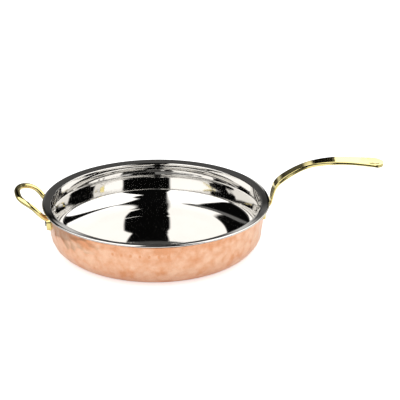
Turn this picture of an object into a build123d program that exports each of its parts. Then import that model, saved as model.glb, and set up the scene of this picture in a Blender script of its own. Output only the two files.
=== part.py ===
from build123d import *
import os
from math import asin, atan2, cos, degrees, radians, sin, sqrt, tan

# A two-layer saute pan. A mirror-polished steel pan sits in a hammered copper jacket, and two cast
# brass handles are riveted through both walls. The origin is the middle of the base, on the surface
# that the pan stands on, +Z is up, and the long handle points along +X.

# Pan, outside to inside
rim_radius = 140.0
pan_height = 60.0
steel_wall = 0.8
copper_wall = 0.8
nest_gap = 0.15

# Rolled edge of the steel pan
bead_width = 3.0
bead_height = 3.6
bead_round = 1.35

# Flared ledge between the rolled edge and the wall
flare_width = 6.6
flare_depth = 3.7
flare_round = 9.0
ledge_width = 11.0
ledge_depth = 6.0
ledge_round = 1.2

# Lid seat, a shallow step in the inner wall
seat_depth = 15.5
seat_step = 0.4
seat_fall = 0.8

# Heel of the steel pan: flat floor, long curve, short curve, wall
heel_width = 45.6
heel_round = 82.0
heel_slope = 29.5
side_round_share = 0.97

# Copper jacket: how far its outer face lies outside the steel pan's inner wall, at the rim's height
# and at the base
jacket_top_room = 4.5
jacket_foot_room = 0.3
jacket_heel_round = 26.6

# Rivets
rivet_radius = 2.4
rivet_hole_gap = 0.05
rivet_head_radius = 4.4
rivet_head_height = 1.8
rivet_tail_radius = 4.1
rivet_tail_height = 1.5
rivet_seat_gap = 0.03

# Long handle: foot plate, then the arm's stations from the plate to the scooped end
foot_width = 44.0
foot_height = 15.8
foot_top_depth = 6.4
foot_thickness = 3.2
foot_round = 6.0
foot_gap = 0.1
long_rivet_spacing = 20.0
long_rivet_depth = 11.0

arm_reach = 140.0
arm_rise = 48.2
arm_width = 15.5
arm_thickness = 4.8
arm_edge_round = 1.3
arm_edge_share = 0.45
scoop_width = 27.0
scoop_dish_length = 17.0
scoop_dish_depth = 1.9
scoop_lip = 2.0

# Loop handle: a round rod between two riveted pads, how far it goes out from the rim and up from it,
# and how wide it is between the middles of the rod
rod_radius = 3.7
loop_reach = 33.4
loop_rise = 14.6
loop_span = 63.6
pad_width = 15.0
pad_height = 18.0
pad_thickness = 4.6
pad_round = 6.5
pad_span = 47.0
pad_rivet_depth = 19.5
rod_root_depth = 12.5
rod_root_room = 1.5
rod_root_offset = 2.0

# Slant of the cast plates' edges, in degrees
plate_draft = 18.0

# One overrun for every cutter
overrun = 2.0

floor_z = copper_wall + nest_gap + steel_wall
wall_radius = rim_radius - ledge_width
lower_wall_radius = wall_radius - seat_step
floor_flat_radius = lower_wall_radius - heel_width
jacket_top_radius = wall_radius + jacket_top_room
jacket_foot_radius = wall_radius + jacket_foot_room
heel_rise = radians(heel_slope)


def shifted(points, distance):
    """The open line of points moved sideways by distance, to its right, with mitred corners."""
    moved = []
    for place, point in enumerate(points):
        before = points[max(place - 1, 0)]
        after = points[min(place + 1, len(points) - 1)]
        here = Vector(*point)
        back = (here - Vector(*before)) if place > 0 else (Vector(*after) - here)
        ahead = (Vector(*after) - here) if place < len(points) - 1 else back
        back, ahead = back.normalized(), ahead.normalized()
        side_a = Vector(back.Y, -back.X)
        side_b = Vector(ahead.Y, -ahead.X)
        corner = (side_a + side_b).normalized()
        move = here + corner * (distance / corner.dot(side_a))
        moved.append((move.X, move.Y))
    return moved


def turned_solid(outline):
    """A face in the XZ plane turned once about the Z axis."""
    return revolve(outline, Axis.Z, 360)


def section(edges):
    """Edges drawn in XY, as radius and height, made a face in the XZ plane."""
    return Plane.XZ * make_face(Curve() + edges)


def line(*points):
    return Polyline(*points)


# Profile of the steel pan's inner face, from the axis outwards and up to the rolled edge
heel_radius = floor_flat_radius + heel_round * tan(heel_rise / 2)
side_height = floor_z + (lower_wall_radius - heel_radius) * tan(heel_rise)
side_room = (lower_wall_radius - heel_radius) / cos(heel_rise) - heel_round * tan(heel_rise / 2)
side_round = side_round_share * side_room / tan((radians(90) - heel_rise) / 2)
bead_middle = rim_radius - bead_width / 2
inner_points = [
    (0.0, floor_z),
    (heel_radius, floor_z),
    (lower_wall_radius, side_height),
    (lower_wall_radius, pan_height - seat_depth - seat_fall),
    (wall_radius, pan_height - seat_depth),
    (wall_radius, pan_height - ledge_depth),
    (rim_radius - flare_width, pan_height - flare_depth),
    (bead_middle, pan_height - bead_height / 3),
]
inner_rounds = [heel_round, side_round, seat_step, seat_step, ledge_round, flare_round]
steel_rounds_out = [
    heel_round + steel_wall,
    side_round + steel_wall,
    seat_step,
    seat_step,
    ledge_round + steel_wall,
    flare_round,
]
outer_points = shifted(inner_points, steel_wall)
nest_points = shifted(inner_points, steel_wall + nest_gap)
outer_points[0] = (0.0, floor_z - steel_wall)
nest_points[0] = (0.0, floor_z - steel_wall - nest_gap)


def steel_pan():
    """Sheet from the floor to the flare, with the rolled edge added to it."""
    inner = FilletPolyline(*inner_points, radius=inner_rounds)
    outer = FilletPolyline(*outer_points, radius=steel_rounds_out)
    sheet = section([inner, outer, line(inner @ 1, outer @ 1), line(inner @ 0, outer @ 0)])
    bead = Plane.XZ * Pos(bead_middle, pan_height - bead_height / 2) * RectangleRounded(
        bead_width, bead_height, bead_round
    )
    return turned_solid(sheet) + turned_solid(bead)


def steel_room():
    """All that lies inside the steel pan's outer face, and the nest gap round it."""
    top = pan_height + overrun
    outer = FilletPolyline(*nest_points, radius=steel_rounds_out)
    end = outer @ 1
    edge = rim_radius + nest_gap
    skirt = pan_height - bead_height - nest_gap
    cap = line(end, (end.X, skirt), (edge, skirt), (edge, top), (0, top), outer @ 0)
    return turned_solid(section([outer, cap]))


def jacket_points():
    return [(0, 0), (jacket_foot_radius, 0), (jacket_top_radius, pan_height)]


def jacket_body(growth):
    """The jacket's outer form, filled, and grown by a distance; a negative one makes the inner form."""
    points = shifted(jacket_points(), growth)
    points[0] = (0.0, -growth)
    outer = FilletPolyline(*points, radius=jacket_heel_round + growth)
    end = outer @ 1
    return turned_solid(section([outer, line(end, (0, end.Y), outer @ 0)]))


def jacket_radius_at(height):
    """Outer radius of the jacket's straight wall at a height."""
    return jacket_foot_radius + (jacket_top_radius - jacket_foot_radius) * height / pan_height


def copper_jacket():
    """Spun bowl whose top edge ends just under the steel ledge."""
    return jacket_body(0.0) - jacket_body(-copper_wall) - steel_room()


def on_wall(angle, height):
    """A frame on the jacket's outer wall: its x axis points outwards, its z axis up."""
    lean = degrees(atan2(jacket_top_radius - jacket_foot_radius, pan_height))
    return Rot(0, 0, angle) * Pos(jacket_radius_at(height), 0, height) * Rot(0, lean, 0)


def side_angle(offset, height):
    """Turn about the pan's axis that moves a place on the wall sideways by offset."""
    return degrees(offset / jacket_radius_at(height))


def dome_arc(base, radius, height, way):
    """Arc of a low dome in the XY plane, from its rim at x = base to its top on the X axis."""
    ball = (radius * radius + height * height) / (2 * height)
    half = asin(radius / ball) / 2
    middle = (base + way * (height - ball + ball * cos(half)), ball * sin(half))
    return ThreePointArc((base, radius), middle, (base + way * height, 0))


def rivet(angle, height, plate_thickness):
    """Domed head inside, shank through plate and walls, and a flatter peened tail outside."""
    wall = wall_radius if pan_height - height < seat_depth else lower_wall_radius
    head_seat = sqrt(wall * wall - rivet_head_radius * rivet_head_radius) - rivet_seat_gap
    tail_seat = jacket_radius_at(height + rivet_tail_radius) + foot_gap + plate_thickness + rivet_seat_gap
    head = dome_arc(head_seat, rivet_head_radius, rivet_head_height, -1)
    tail = dome_arc(tail_seat, rivet_tail_radius, rivet_tail_height, 1)
    shank = line(head @ 0, (head_seat, rivet_radius), (tail_seat, rivet_radius), tail @ 0)
    outline = make_face(Curve() + [head, shank, tail, line(head @ 1, tail @ 1)])
    return Rot(0, 0, angle) * Pos(0, 0, height) * revolve(outline, Axis.X, 360)


def rivet_hole(angle, height):
    """Cutter for the hole that a rivet's shank fills, level, through every wall."""
    reach = jacket_top_radius + foot_thickness + overrun - wall_radius + overrun
    bore = extrude(Plane.YZ * Circle(rivet_radius + rivet_hole_gap), reach)
    return Rot(0, 0, angle) * Pos(wall_radius - overrun, 0, height) * bore


def wall_plate(width, height, corner, thickness, place):
    """A rounded plate that lies on the jacket's wall, follows its curve and narrows outwards."""
    outline = Plane.YZ * RectangleRounded(width, height, corner)
    blank = extrude(outline, thickness + overrun, taper=plate_draft) + extrude(outline, -thickness)
    return (place * blank) & (jacket_body(foot_gap + thickness) - jacket_body(foot_gap))


# Stations of the long handle's arm, from the foot plate to the scooped end: how far out and how high
# each lies, as shares of the arm's reach and rise, and its width and thickness as shares of the arm's
# or the scoop's
arm_reach_shares = [
    -0.027, -0.01, 0.0104, 0.019, 0.0294, 0.0462, 0.0774, 0.127,
    0.2, 0.33, 0.46, 0.585, 0.735, 0.83, 0.91, 1.02,
]
arm_rise_shares = [
    -0.33, -0.207, -0.077, 0.0415, 0.173, 0.316, 0.444, 0.564,
    0.7, 0.874, 0.951, 0.978, 0.963, 0.937, 0.914, 0.895,
]
arm_width_shares = [0.62, 0.72, 1.15, 1.25, 1.27, 1.25, 1.2, 1.1, 1.03, 0.97, 1.13, 1.31, 1.44]
arm_thickness_shares = [
    0.66, 0.6, 0.5, 0.52, 0.58, 0.7, 0.85, 0.98,
    0.98, 0.91, 0.9, 0.87, 0.84, 0.81, 0.8, 0.75,
]
scoop_width_shares = [0.91, 1.0, 1.0]


def arm_stations():
    """Places along the arm, with the direction of the arm at each."""
    places = [
        Vector(rim_radius + arm_reach * reach, 0, pan_height + arm_rise * rise)
        for reach, rise in zip(arm_reach_shares, arm_rise_shares)
    ]
    stations = []
    for number, place in enumerate(places):
        before = places[max(number - 1, 0)]
        after = places[min(number + 1, len(places) - 1)]
        stations.append(Plane(origin=place, x_dir=(0, 1, 0), z_dir=after - before))
    return stations


def arm():
    """Loft through rounded bars, square to the arm at each station."""
    widths = [arm_width * share for share in arm_width_shares]
    widths += [scoop_width * share for share in scoop_width_shares]
    bars = []
    for station, width, thick in zip(arm_stations(), widths, arm_thickness_shares):
        thickness = arm_thickness * thick
        edge = min(arm_edge_round, arm_edge_share * thickness)
        bars.append(station * RectangleRounded(width, thickness, edge))
    return loft(bars)


def scoop_cut():
    """Waste outside the arm's round end, and a dish with a straight inner edge, sunk inside a lip."""
    end = rim_radius + arm_reach
    middle = end - scoop_width / 2
    room = Pos(middle + scoop_width / 2, 0) * Rectangle(scoop_width, 2 * scoop_width)
    waste = extrude(room - Pos(middle, 0) * Circle(scoop_width / 2), pan_height + 2 * arm_rise)
    half = scoop_width / 2 - scoop_lip
    start = end - scoop_lip - scoop_dish_length
    ball = (half * half + scoop_dish_depth * scoop_dish_depth) / (2 * scoop_dish_depth)
    top = pan_height + arm_rise * arm_rise_shares[-2] + arm_thickness * arm_thickness_shares[-2] / 2
    dish = Pos(middle, 0, top - scoop_dish_depth + ball) * Sphere(ball)
    inside = Pos(start + scoop_dish_length / 2, 0) * Rectangle(scoop_dish_length, scoop_width)
    inside &= Pos(middle, 0) * Circle(half)
    return waste + (dish & extrude(inside, top + arm_thickness))


def long_handle():
    """Foot plate and arm, one casting, with the scoop sunk into the arm's end."""
    middle = pan_height - foot_top_depth - foot_height / 2
    plate = wall_plate(foot_width, foot_height, foot_round, foot_thickness, on_wall(0, middle))
    body = plate + (arm() - scoop_cut())
    for angle, height in long_rivets:
        body -= rivet_hole(angle, height)
    return body


# Stations of one half of the loop, from the pad to the middle of its end: how far out, how high above
# the rim and how far to the side each lies, and the rod's radius at each and at its root
loop_reach_shares = [-0.02, 0.189, 0.438, 0.707, 0.916, 1.0]
loop_rise_shares = [-0.466, 0.055, 0.473, 0.733, 0.918, 1.0]
loop_side_shares = [0.937, 1.0, 0.969, 0.811, 0.472, 0.0]
rod_root_share = 0.95
rod_radius_shares = [0.86, 0.82, 0.84, 0.92, 1.0, 1.0]


def loop_stations():
    """Middles of the rod from one pad to the other, each with the rod's radius there."""
    height = pan_height - rod_root_depth
    turn = side_angle(pad_span / 2 + rod_root_offset, height)
    root = (on_wall(180 + turn, height) * Pos(rod_root_room, 0, 0)).position
    half = [(root.X, root.Y, root.Z, rod_radius * rod_root_share)]
    shares = zip(loop_reach_shares, loop_rise_shares, loop_side_shares, rod_radius_shares)
    for reach, rise, side, thick in shares:
        out = rim_radius + (loop_reach - rod_radius) * reach
        half.append((-out, -loop_span / 2 * side, pan_height + loop_rise * rise, rod_radius * thick))
    return half + [(x, -y, z, thick) for x, y, z, thick in reversed(half[:-1])]


def rod():
    """Loft through circles, square to a smooth line through the stations."""
    stations = loop_stations()
    path = Spline(*[station[:3] for station in stations])
    outward = path @ 0.5 - path @ 0
    across = Vector(outward.X, 0, outward.Z).cross(Vector(0, 1, 0))
    rings = []
    for x, y, z, thick in stations:
        along = path.param_at_point((x, y, z))
        rings.append(Plane(origin=(x, y, z), x_dir=across, z_dir=path % along) * Circle(thick))
    return loft(rings)


def loop_handle():
    """Rod and its two pads, one casting."""
    body = rod()
    for angle, height in loop_rivets:
        body += wall_plate(pad_width, pad_height, pad_round, pad_thickness, on_wall(angle, height))
    body -= jacket_body(foot_gap)
    for angle, height in loop_rivets:
        body -= rivet_hole(angle, height)
    return body


long_height = pan_height - long_rivet_depth
long_side = side_angle(long_rivet_spacing / 2, long_height)
long_rivets = [(-long_side, long_height), (long_side, long_height)]
pad_middle = pan_height - pad_rivet_depth
pad_side = side_angle(pad_span / 2, pad_middle)
loop_rivets = [(180 + pad_side, pad_middle), (180 - pad_side, pad_middle)]

pan = steel_pan()
jacket = copper_jacket()
for angle, height in long_rivets + loop_rivets:
    pan -= rivet_hole(angle, height)
    jacket -= rivet_hole(angle, height)

pieces = {
    "steel_pan": pan,
    "copper_jacket": jacket,
    "long_handle": long_handle(),
    "loop_handle": loop_handle(),
    "long_handle_rivet_front": rivet(*long_rivets[0], foot_thickness),
    "long_handle_rivet_back": rivet(*long_rivets[1], foot_thickness),
    "loop_rivet_front": rivet(*loop_rivets[0], pad_thickness),
    "loop_rivet_back": rivet(*loop_rivets[1], pad_thickness),
}

os.makedirs("parts", exist_ok=True)
for name, piece in pieces.items():
    export_step(piece, f"parts/{name}.step")
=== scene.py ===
import bpy
import math
from mathutils import Matrix, Vector


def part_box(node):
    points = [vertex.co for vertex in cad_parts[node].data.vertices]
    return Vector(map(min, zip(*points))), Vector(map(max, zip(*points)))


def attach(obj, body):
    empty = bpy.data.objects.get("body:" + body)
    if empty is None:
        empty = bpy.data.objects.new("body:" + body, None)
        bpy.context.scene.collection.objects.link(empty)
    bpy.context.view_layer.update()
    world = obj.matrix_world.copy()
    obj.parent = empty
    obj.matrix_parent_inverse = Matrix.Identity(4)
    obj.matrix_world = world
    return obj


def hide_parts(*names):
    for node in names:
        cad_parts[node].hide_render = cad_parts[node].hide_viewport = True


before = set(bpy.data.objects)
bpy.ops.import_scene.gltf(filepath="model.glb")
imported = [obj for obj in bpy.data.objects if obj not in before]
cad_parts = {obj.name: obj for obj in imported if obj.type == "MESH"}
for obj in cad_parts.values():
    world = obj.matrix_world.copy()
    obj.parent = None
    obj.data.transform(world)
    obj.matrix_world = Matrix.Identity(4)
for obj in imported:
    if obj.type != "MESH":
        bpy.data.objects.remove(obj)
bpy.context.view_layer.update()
bpy.ops.object.select_all(action="DESELECT")

# Steel pan. The cooking vessel: one sheet of stainless steel, deep-drawn, mirror-polished on the
# inside and rolled over at the rim. It has a soft heel, a shallow lid seat and a flared ledge. It
# nests in the copper jacket and is held there by the handles' rivets.
rim_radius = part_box("steel_pan")[1].x
rim_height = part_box("steel_pan")[1].z
floor_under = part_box("steel_pan")[0].z
steel_wall = 0.0008
floor_height = floor_under + steel_wall
floor_rings = (0, 0.03, 0.06)
heel_start = 0.0870
heel_top = rim_height - 0.0375
heel_power = 1.70
ledge_width = 0.0110
wall_radius = rim_radius - ledge_width
seat_step = 0.0004
seat_radius = wall_radius - seat_step
seat_foot = rim_height - 0.0163
seat_top = rim_height - 0.0155
lip_round = 0.0012
lip_foot = rim_height - 0.0030
bead_round = 0.00125
flare_places = [(0.0082, 0.00145), (0.0062, 0.00105), (0.0048, 0.00075), (0.0034, 0.00045)]
under_places = [(0.0038, 0.0030), (0.0066, 0.0043)]


def arc(middle, radius, start, end, steps):
    """Points of an arc in the XZ plane, its angles in degrees, counted from +X towards +Z."""
    turns = [math.radians(start + (end - start) * step / steps) for step in range(steps + 1)]
    return [(middle[0] + radius * math.cos(turn), middle[1] + radius * math.sin(turn)) for turn in turns]


def heel_curve(flat_radius, side_radius, low, high, power, steps):
    """Points of the soft heel, from the floor's edge up to the foot of the wall."""
    points = []
    for step in range(steps + 1):
        turn = math.pi / 2 * step / steps
        along = math.sin(turn) ** (2 / power)
        down = math.cos(turn) ** (2 / power)
        points.append((flat_radius + (side_radius - flat_radius) * along, high - (high - low) * down))
    return points


def from_rim(places):
    """Points of the rim, each given by how far in and how far down it lies from the rim's edge."""
    return [(rim_radius - inset, rim_height - drop) for inset, drop in places]


def spun(name, profile, steps):
    """A wire drawn point by point in edit mode, then spun once round the pan's axis."""
    bpy.ops.mesh.primitive_plane_add(size=0.001)
    piece = bpy.context.object
    piece.name = name
    bpy.ops.object.mode_set(mode="EDIT")
    bpy.ops.mesh.merge(type="CENTER")
    places = [Vector((radius, 0, height)) for radius, height in profile]
    bpy.ops.transform.translate(value=places[0])
    for here, there in zip(places, places[1:]):
        bpy.ops.mesh.extrude_vertices_move(TRANSFORM_OT_translate={"value": there - here})
    bpy.ops.mesh.select_all(action="SELECT")
    bpy.ops.mesh.spin(steps=steps, angle=2 * math.pi, center=(0, 0, 0), axis=(0, 0, 1))
    bpy.ops.mesh.select_all(action="SELECT")
    bpy.ops.mesh.remove_doubles(threshold=1e-6)
    bpy.ops.mesh.normals_make_consistent(inside=False)
    bpy.ops.object.mode_set(mode="OBJECT")
    bpy.ops.object.shade_smooth()
    bpy.ops.object.select_all(action="DESELECT")
    return piece


heel_inner = heel_curve(heel_start, seat_radius, floor_height, heel_top, heel_power, 40)
heel_outer = heel_curve(heel_start, seat_radius + steel_wall, floor_under, heel_top, heel_power, 20)
wall_rings = [(seat_radius, rim_height - 0.030), (seat_radius, rim_height - 0.022)]
seat_line = [(seat_radius, seat_foot), (wall_radius, seat_top)]
ledge = [(wall_radius, lip_foot)] + arc((wall_radius + lip_round, lip_foot), lip_round, 180, 102, 5)
bead = arc((rim_radius - bead_round, rim_height - bead_round), bead_round, 102, -150, 22)
under = [(wall_radius + 0.0015, rim_height - 0.0058), (wall_radius + steel_wall, rim_height - 0.0070)]
under += [(wall_radius + steel_wall, seat_top), (seat_radius + steel_wall, seat_foot)]
profile = [(ring, floor_height) for ring in floor_rings] + heel_inner + wall_rings + seat_line
profile += ledge + from_rim(flare_places) + bead + from_rim(under_places) + under
profile += list(reversed(heel_outer)) + [(0.05, floor_under), (0, floor_under)]
steel_pan = spun("steel_vessel", profile, 256)


class Value:
    """A socket that carries a number, with Python's own signs for its maths."""

    def __init__(self, finish, socket):
        self.finish, self.socket = finish, socket

    def maths(self, operation, *terms):
        values = {place: term for place, term in enumerate(terms)}
        return self.finish.node("ShaderNodeMath", {"operation": operation}, values)

    def __add__(self, other):
        return self.maths("ADD", self, other)

    def __radd__(self, other):
        return self.maths("ADD", other, self)

    def __sub__(self, other):
        return self.maths("SUBTRACT", self, other)

    def __rsub__(self, other):
        return self.maths("SUBTRACT", other, self)

    def __mul__(self, other):
        return self.maths("MULTIPLY", self, other)

    def __rmul__(self, other):
        return self.maths("MULTIPLY", other, self)

    def __truediv__(self, other):
        return self.maths("DIVIDE", self, other)

    def clamped(self):
        return self.maths("MINIMUM", self.maths("MAXIMUM", self, 0.0), 1.0)

    def between(self, low, high, soft):
        """1 where the value lies between low and high, with soft edges."""
        rise = ((self - (low - soft / 2)) / soft).clamped()
        fall = (((high + soft / 2) - self) / soft).clamped()
        return rise * fall


class Finish:
    """One material: its principled shader, and any node that feeds it."""

    def __init__(self, name):
        self.material = bpy.data.materials.new(name)
        self.material.use_nodes = True
        self.tree = self.material.node_tree
        self.shader = self.tree.nodes["Principled BSDF"]
        self.place = self.node("ShaderNodeTexCoord", {}, {}, "Object")

    def node(self, kind, settings, values, output=0):
        """Adds a node with its settings and its sockets' values or links; gives one of its outputs."""
        made = self.tree.nodes.new(kind)
        for name, setting in settings.items():
            setattr(made, name, setting)
        for name, value in values.items():
            if isinstance(value, Value):
                self.tree.links.new(value.socket, made.inputs[name])
            else:
                made.inputs[name].default_value = value
        return Value(self, made.outputs[output])

    def feed(self, name, value):
        """Links a value to the shader, or sets a constant on the shader's own socket."""
        if isinstance(value, Value):
            self.tree.links.new(value.socket, self.shader.inputs[name])
        else:
            self.shader.inputs[name].default_value = value

    def noise(self, scale, detail=2.0, stretch=(1.0, 1.0, 1.0)):
        place = self.node("ShaderNodeMapping", {}, {"Vector": self.place, "Scale": stretch})
        return self.node("ShaderNodeTexNoise", {}, {"Vector": place, "Scale": scale, "Detail": detail})

    def places(self):
        """The three object coordinates of the point."""
        parts = self.node("ShaderNodeSeparateXYZ", {}, {"Vector": self.place})
        return [Value(self, output) for output in parts.socket.node.outputs]

    def blend(self, factor, first, second):
        """Mixes two colours, each a tuple or a link."""
        values = {"Factor": factor, 6: first, 7: second}
        return self.node("ShaderNodeMix", {"data_type": "RGBA"}, values, 2)


mirror = Finish("mirror_steel")
mirror.feed("Metallic", 1.0)
haze = mirror.noise(26.0, 3.0)
mirror.feed("Base Color", mirror.blend(haze, (0.70, 0.69, 0.67, 1), (0.76, 0.75, 0.735, 1)))
mirror.feed("Roughness", 0.03 + 0.03 * haze)
steel_pan.data.materials.append(mirror.material)
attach(steel_pan, "root")
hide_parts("steel_pan")

# Copper jacket. The outer bowl: copper sheet spun over a former, then planished by hand, which
# leaves shallow hammer marks all over its wall. Its top edge is tucked under the steel ledge, and
# the rivets hold it to the steel.
copper_wall = 0.0008
foot_inset = 0.0107
foot_radius = rim_radius - foot_inset
foot_round = 0.0266
wall_spread = 0.0042
wall_lean = math.degrees(math.atan2(wall_spread, rim_height))
round_middle = (foot_radius - foot_round * math.tan(math.radians(90 - wall_lean) / 2), foot_round)
tuck_gap = 0.0002
tuck_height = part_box("copper_jacket")[1].z - tuck_gap
inner_step = 0.006
hammered_from = 0.003
hammered_to = 0.053
fade_in = 0.006
fade_out = 0.002
outer_skin = 0.0004
mark_range = 0.0007


def wall_place(height, inset):
    """A point of the jacket's leaning wall, set in from its outer face."""
    lean = math.tan(math.radians(wall_lean))
    return (foot_radius + lean * height - inset / math.cos(math.radians(wall_lean)), height)


def share(value):
    """The value, held between 0 and 1."""
    return min(1, max(0, value))


outside = [(foot_radius * ring / 8, 0) for ring in range(6)]
outside += arc(round_middle, foot_round, -90, -wall_lean, 38)
wall_start = outside[-1][1]
outside += [wall_place(wall_start + (tuck_height - wall_start) * step / 30, 0) for step in range(1, 31)]
inside = [wall_place(tuck_height - inner_step * step, copper_wall) for step in range(5)]
inside += arc(round_middle, foot_round - copper_wall, -wall_lean, -90, 14)
jacket = spun("copper_bowl", outside + inside + [(0, copper_wall)], 512)

hammered = jacket.vertex_groups.new(name="hammered")
for vertex in jacket.data.vertices:
    level = vertex.co.z
    edge = wall_place(level, 0)[0] - math.hypot(vertex.co.x, vertex.co.y)
    struck = share((level - hammered_from) / fade_in) * share((hammered_to - level) / fade_out)
    if struck > 0 and (edge < outer_skin or level < foot_round):
        hammered.add([vertex.index], struck, "REPLACE")
marks = bpy.data.textures.new("hammer_marks", "VORONOI")
marks.noise_scale = 0.012
marks.distance_metric = "DISTANCE_SQUARED"
strike = jacket.modifiers.new("strike", "DISPLACE")
strike.texture = marks
strike.texture_coords = "LOCAL"
strike.vertex_group = "hammered"
strike.strength = 0.0009
strike.mid_level = 0.3
unstruck = [vertex.co.copy() for vertex in jacket.data.vertices]
bpy.context.view_layer.objects.active = jacket
bpy.ops.object.modifier_apply(modifier="strike")
# The depth of each hammer mark, kept for the copper's colour, where it paints light and shade.
depths = jacket.data.attributes.new("mark_depth", "FLOAT", "POINT")
for vertex, before in zip(jacket.data.vertices, unstruck):
    depths.data[vertex.index].value = 0.5 - (vertex.co - before).dot(vertex.normal) / mark_range

copper = Finish("hammered_copper")
width, depth, height = copper.places()
turn = width.maths("ARCTAN2", width, 0 - depth) * math.degrees(1)
dent_shade = copper.node("ShaderNodeAttribute", {"attribute_name": "mark_depth"}, {}, "Fac")
patches = copper.noise(16.0, 2.0, (1.0, 1.0, 1.6))
specks = copper.noise(150.0, 3.0)
bands = copper.noise(30.0, 3.0, (1.0, 1.0, 2.2))
# dent_shade paints each hammer mark lighter at its sunken middle and darker at its raised edge: painted
# light and shade that follow the marks.
bright = (patches - 0.5) * 0.7 + (specks - 0.5) * 1.5 + (bands - 0.5) * 0.7 + (dent_shade - 0.5) * 0.7 + 0.58
# Each stain, and the wide band along the top of the front wall, which is painted shade under the
# steel ledge: its left and right edge in degrees from the front, its low and high edge, how soft its
# sides are in degrees, and its strength.
stains_and_shade = [
    (-49, -43, 0.043, 0.053, 5, 0.8),
    (-42, -36, 0.040, 0.052, 5, 0.9),
    (-2, 7, 0.045, 0.056, 5, 0.6),
    (1, 8, 0.002, 0.009, 3, 1.0),
    # Painted shade under the steel ledge, no stain: the top of the front wall made darker.
    (-60, 40, 0.046, 0.060, 30, 0.35),
    (5.3, 5.7, 0.040, 0.056, 0.3, 1.8),
]
for left, right, low, high, soft, strength in stains_and_shade:
    bright = bright - turn.between(left, right, soft) * height.between(low, high, 0.004) * strength
# A row of dark spots along the front, about 12 mm apart: painted shade for a row of small dimples, drawn
# in colour only.
dimple_shade = (width.maths("COSINE", turn * math.radians(76)) * 4 - 2.4).clamped()
bright = bright - dimple_shade * height.between(0.0412, 0.0438, 0.002) * turn.between(-26, 7, 3) * 1.3
# The lowest 5 mm of the wall are painted darker: painted shade where the wall meets the table.
bright = (bright - (1 - height / 0.005).clamped() * 0.9).clamped()
copper.feed("Metallic", 1.0)
copper.feed("Base Color", copper.blend(bright, (0.76, 0.36, 0.19, 1), (0.90, 0.58, 0.40, 1)))
copper.feed("Roughness", 0.15 + 0.15 * bands)
jacket.data.materials.append(copper.material)
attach(jacket, "root")
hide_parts("copper_jacket")

# Handles. Two brass castings, a long arm and a loop, ground and polished bright. The arm's foot plate
# and the loop's two pads lie on the copper wall and are riveted there.
brass = Finish("polished_brass")
brass.feed("Metallic", 1.0)
cast = brass.noise(40.0, 3.0)
brass.feed("Base Color", brass.blend(cast, (0.78, 0.66, 0.26, 1), (0.88, 0.77, 0.36, 1)))
brass.feed("Roughness", 0.08 + 0.06 * cast)
for name in ("long_handle", "loop_handle"):
    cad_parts[name].data.materials.clear()
    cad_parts[name].data.materials.append(brass.material)

# Rivets. Round-headed steel pins, two in the long handle's foot and one in each pad of the loop,
# pressed through brass, copper and steel. Their heads are duller than the pan's mirror.
pin = Finish("rivet_steel")
pin.feed("Metallic", 1.0)
wear = pin.noise(300.0, 3.0)
pin.feed("Base Color", pin.blend(wear, (0.58, 0.57, 0.55, 1), (0.70, 0.69, 0.67, 1)))
pin.feed("Roughness", 0.12 + 0.12 * wear)
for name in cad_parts:
    if "rivet" in name:
        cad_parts[name].data.materials.clear()
        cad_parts[name].data.materials.append(pin.material)

# Studio. A white table under the pan, and soft light from above. A dome and four small cards are
# seen only in reflections: the dome's bright windows and dark gaps draw the pale and dark fields in
# the mirror steel.
card_white = (1.0, 0.985, 0.96, 1)
card_black = (0.0015, 0.0015, 0.0015, 1)
card_strength = 1.9
card_radius = 0.53
card_lift = 0.0006

bpy.ops.mesh.primitive_plane_add(size=12)
table = bpy.context.object
table.name = "white_table"
paper = Finish("table_paper")
paper.feed("Base Color", (0.95, 0.95, 0.95, 1))
paper.feed("Roughness", 0.9)
paper.feed("Specular IOR Level", 0.0)
seen = paper.node("ShaderNodeLightPath", {}, {}, "Is Camera Ray")
mirrored = paper.node("ShaderNodeLightPath", {}, {}, "Is Glossy Ray")
paper.feed("Emission Color", seen * 0.6 + mirrored * 0.15)
paper.feed("Emission Strength", 1.0)
table.data.materials.append(paper.material)


def only_reflected(card):
    """Hides a card from all but glossy rays."""
    for ray in ("camera", "diffuse", "transmission", "volume_scatter", "shadow"):
        setattr(card, "visible_" + ray, False)


def glowing(finish, colour):
    """Makes a finish shine in one colour or in a pattern, with no gloss of its own."""
    finish.feed("Base Color", (0, 0, 0, 1))
    finish.feed("Specular IOR Level", 0.0)
    finish.feed("Emission Color", colour)
    finish.feed("Emission Strength", card_strength)


dome_middle = (0, 0, rim_height)
bpy.ops.mesh.primitive_uv_sphere_add(segments=64, ring_count=32, radius=card_radius, location=dome_middle)
cards = bpy.context.object
cards.name = "reflection_cards"
bpy.ops.object.transform_apply(location=True)
bpy.ops.object.shade_smooth()
only_reflected(cards)

glow = Finish("card_glow")
across, ahead, above = glow.places()
round_about = across.maths("ARCTAN2", across, ahead) * math.degrees(1)
climb = across.maths("ARCSINE", (above - rim_height) / card_radius) * math.degrees(1)
flag_across = (round_about + 35) / 44
flag_up = (climb - 28) / 32
left_flag = 1 - flag_across * flag_across - flag_up * flag_up
light = round_about.between(-80, -20, 3) * climb.between(20, 99, 3) * (1 - (left_flag * 7).clamped())
slant = round_about + climb * 0.5
light = light + slant.between(52, 400, 3) * round_about.between(0, 138, 3) * climb.between(17, 76, 3)
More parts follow.
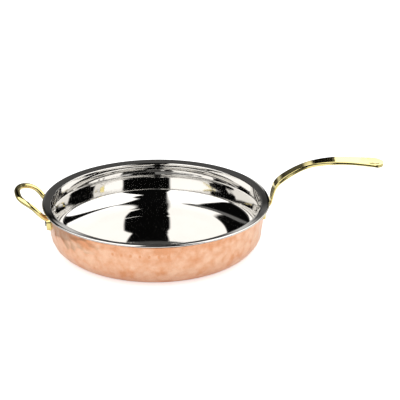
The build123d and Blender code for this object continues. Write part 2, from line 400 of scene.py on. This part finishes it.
# Each window: its left and right edge round the pan, its low and high edge above the rim, and how
# soft its edges are, all in degrees, and its brightness.
panels = [
    (-161, -79, 12, 99, 3, 1.0),
    (-21, 3, 59, 99, 3, 1.0),
    (-11, -3, 46, 60, 3, 0.9),
    (12.5, 21, 25, 62, 2, 0.9),
    (-20, -11, 21, 57, 3, 0.09),
    (-11, 12, 17, 38, 3, 0.045),
    (108, 138, 11, 18, 3, 0.9),
    (-79, -14, 9, 19, 3, 0.05),
    (12, 108, 9, 19, 3, 0.12),
    (-14, 12, 7, 13, 3, 0.35),
    (-190, -60, -14, 8, 6, 0.12),
    (-60, 60, -14, 7, 6, 0.03),
    (60, 150, -14, 8, 6, 0.35),
]
for left, right, low, high, soft, strength in panels:
    light = light + round_about.between(left, right, soft) * climb.between(low, high, soft) * strength
strip_turn = math.radians(8)
overhead = (across * math.cos(strip_turn) - ahead * math.sin(strip_turn)) / card_radius
light = (light * (1 - overhead.between(-0.12, 0.12, 0.03) * climb.between(56, 99, 4))).clamped()
glowing(glow, glow.blend(light, card_black, card_white))
cards.data.materials.append(glow.material)

# A small white card behind the long handle, which lights the flat top of its arm.
bpy.ops.mesh.primitive_plane_add(size=1, location=(0.272, 0.20, 0.20), rotation=(math.radians(67), 0, 0))
arm_card = bpy.context.object
arm_card.name = "arm_card"
arm_card.scale = (0.052, 0.12, 1)
bpy.ops.object.transform_apply(location=True, rotation=True, scale=True)
only_reflected(arm_card)
white_card = Finish("card_white")
glowing(white_card, card_white)
arm_card.data.materials.append(white_card.material)

# Felt cards that lie on the table, a grey one on the left and black ones on the right and in front:
# each one's name, grey, middle and size.
felt_cards = [
    ("left_card", 0.55, (-0.340, 0.0), (0.34, 0.80)),
    ("right_card", 0.02, (0.360, -0.305), (0.29, 0.31)),
    ("front_card", 0.02, (0.0, -0.42), (0.32, 0.20)),
]
for name, grey, middle, size in felt_cards:
    bpy.ops.mesh.primitive_plane_add(size=1, location=(*middle, card_lift))
    sheet = bpy.context.object
    sheet.name = name
    sheet.scale = (*size, 1)
    bpy.ops.object.transform_apply(location=True, rotation=False, scale=True)
    only_reflected(sheet)
    felt = Finish(name + "_felt")
    felt.feed("Base Color", (grey, grey, grey, 1))
    felt.feed("Roughness", 0.9)
    sheet.data.materials.append(felt.material)

world = bpy.data.worlds.new("studio_air")
world.use_nodes = True
world.node_tree.nodes["Background"].inputs["Color"].default_value = (1, 1, 1, 1)
world.node_tree.nodes["Background"].inputs["Strength"].default_value = 1.0
bpy.context.scene.world = world

bpy.ops.object.light_add(type="AREA", location=(-0.2, 0.1, 1.6))
lamp = bpy.context.object
lamp.data.size = 1.6
lamp.data.energy = 3.0
lamp.visible_glossy = False
bpy.context.scene.view_settings.view_transform = "Standard"

bpy.ops.object.camera_add()
camera = bpy.context.object
camera.data.lens = 123.26
camera.data.sensor_width = 36
right = Vector((0.99866463, -0.05157775, 0.00294818))
up = Vector((0.01694984, 0.38102732, 0.92440840))
forward = Vector((0.04880224, 0.92312400, -0.38139274))
eye = Vector((-0.028400, -1.561204, 0.703155))
camera.matrix_world = Matrix((
    (right.x, up.x, -forward.x, eye.x),
    (right.y, up.y, -forward.y, eye.y),
    (right.z, up.z, -forward.z, eye.z),
    (0, 0, 0, 1),
))
bpy.context.scene.camera = camera
